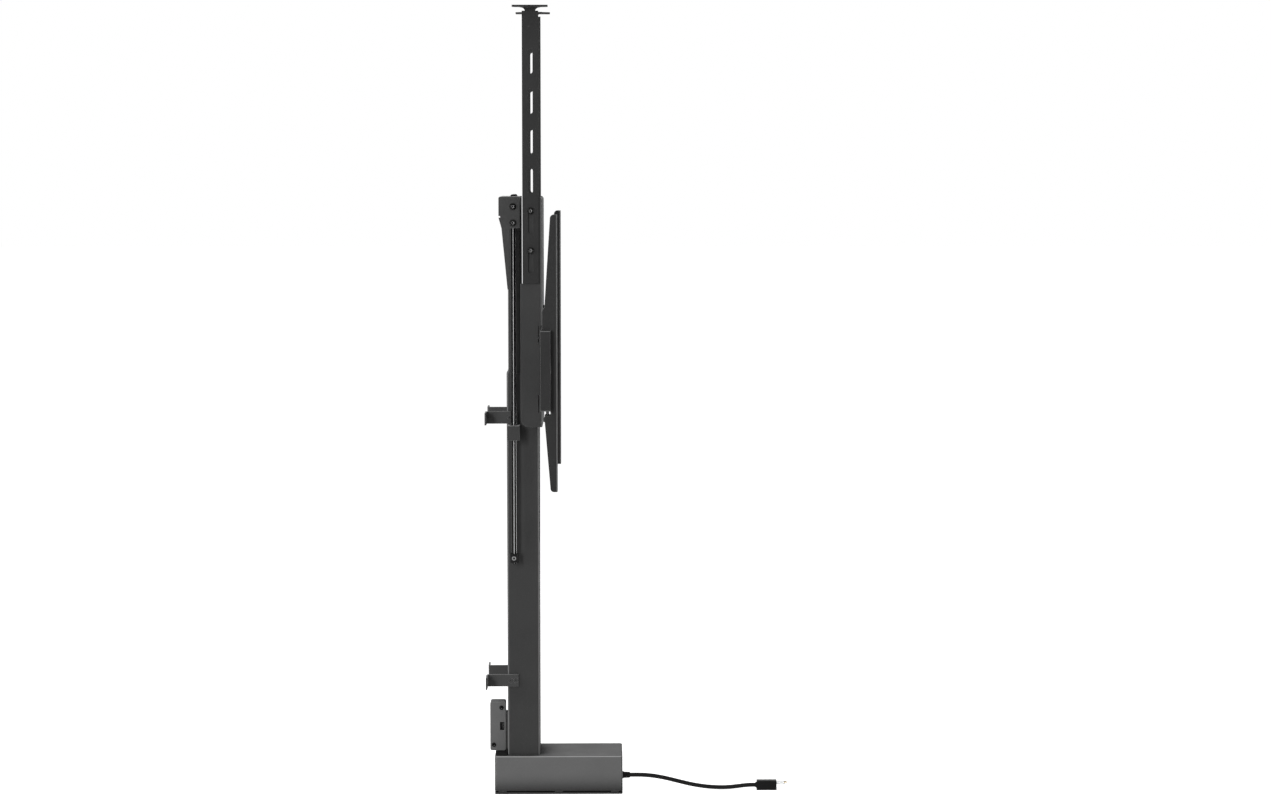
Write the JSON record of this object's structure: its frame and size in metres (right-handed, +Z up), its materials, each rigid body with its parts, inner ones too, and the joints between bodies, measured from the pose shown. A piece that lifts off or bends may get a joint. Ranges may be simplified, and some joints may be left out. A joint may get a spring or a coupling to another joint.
{
  "type": "tv lift mechanism",
  "caption": "Motorised floor-standing TV lift: slotted column on a motor base, sliding mast with guide rods, carriage with hooked screen arms and slotted lid posts.",
  "frame": {"origin": "on the floor under the column's axis", "axes": "+Z up along the column, -Y towards the screen, +Y towards the wall, +X to the right seen from the screen side"},
  "size_m": [0.45, 0.471, 1.2185],
  "materials": {
    "charcoal_steel": "fine-texture charcoal powder coat",
    "dark_steel": "fine-texture near-black powder coat",
    "base_grey": "fine-texture mid grey powder coat",
    "plain_steel": "plain zinc-plated steel",
    "black_screw": "black oxide",
    "motor_black": "satin black paint",
    "black_plastic": "moulded, fine grain",
    "pale_plastic": "moulded",
    "black_cable": "satin jacket",
    "clear_plastic": "clear moulded",
    "bronze": "machined",
    "dark_rod": "polished black-plated rod"
  },
  "bodies": {
    "frame": {"base_plate": "base_grey", "base_housing": "base_grey", "front_end_cover": "base_grey", "rear_end_cover": "base_grey", "control_box_body": "base_grey", "control_box_cover": "base_grey", "outer_column": "charcoal_steel", "upper_left_strap": "charcoal_steel", "upper_right_strap": "charcoal_steel", "lower_left_strap": "charcoal_steel", "lower_right_strap": "charcoal_steel", "control_box_bracket": "charcoal_steel", "left_guide_block": "charcoal_steel", "right_guide_block": "charcoal_steel", "base_screws": "plain_steel", "foot_bolts": "plain_steel", "block_screws": "plain_steel", "screw_bearings": "plain_steel", "gear_case": "plain_steel", "gear_cap": "plain_steel", "column_foot": "plain_steel", "column_screws": "black_screw", "strap_screws": "black_screw", "control_box_screws": "black_screw", "motor_body": "motor_black", "column_glides": "black_plastic", "guide_bushes": "black_plastic", "lead_grommet": "black_plastic", "cable_gland": "black_plastic", "plug_boot": "black_plastic", "motor_end_cap": "pale_plastic", "motor_lead": "black_cable", "motor_wires": "black_cable", "plug_tip": "clear_plastic"},
    "mast": {"inner_mast": "charcoal_steel", "head_bracket": "charcoal_steel", "carriage": "charcoal_steel", "mounting_plate": "dark_steel", "drive_nut": "bronze", "nut_screws": "black_screw", "head_screws": "black_screw", "clamp_screws": "black_screw", "carriage_bolts": "black_screw", "plate_bolts": "black_screw", "lid_post_bolts": "black_screw", "mast_glides": "black_plastic", "rod_stops": "black_plastic", "rod_clamps": "base_grey", "left_guide_rod": "dark_rod", "right_guide_rod": "dark_rod", "carriage_spacers": "plain_steel"},
    "lead_screw": {"lead_screw": "plain_steel", "worm_wheel": "bronze"},
    "worm": {"worm_shaft": "plain_steel"},
    "left_post": {"left_lid_post": "dark_steel"},
    "right_post": {"right_lid_post": "dark_steel"},
    "left_arm": {"left_screen_arm": "dark_steel", "left_arm_lock": "black_screw"},
    "right_arm": {"right_screen_arm": "dark_steel", "right_arm_lock": "black_screw"}
  },
  "joints": [
    {"name": "lift", "type": "slide", "parent": "frame", "child": "mast", "axis": [0, 0, 1], "range_m": [-0.2, 0.17]},
    {"name": "lead_screw_spin", "type": "hinge", "parent": "frame", "child": "lead_screw", "pos_m": [0, 0.01375, 0], "axis": [0, 0, 1], "continuous": true},
    {"name": "worm_spin", "type": "hinge", "parent": "frame", "child": "worm", "pos_m": [-0.022, 0, 0.024], "axis": [0, 1, 0], "continuous": true},
    {"name": "left_post_slide", "type": "slide", "parent": "mast", "child": "left_post", "axis": [0, 0, 1], "range_m": [0, 0.029]},
    {"name": "right_post_slide", "type": "slide", "parent": "mast", "child": "right_post", "axis": [0, 0, 1], "range_m": [0, 0.029]},
    {"name": "left_arm_slide", "type": "slide", "parent": "mast", "child": "left_arm", "axis": [1, 0, 0], "range_m": [0, 0.1]},
    {"name": "right_arm_slide", "type": "slide", "parent": "mast", "child": "right_arm", "axis": [-1, 0, 0], "range_m": [0, 0.1]}
  ],
  "couplings": [
    {"joint": "lead_screw_spin", "follows": "lift", "rad_per_m": -392.7},
    {"joint": "worm_spin", "follows": "lift", "rad_per_m": -2356.2}
  ]
}
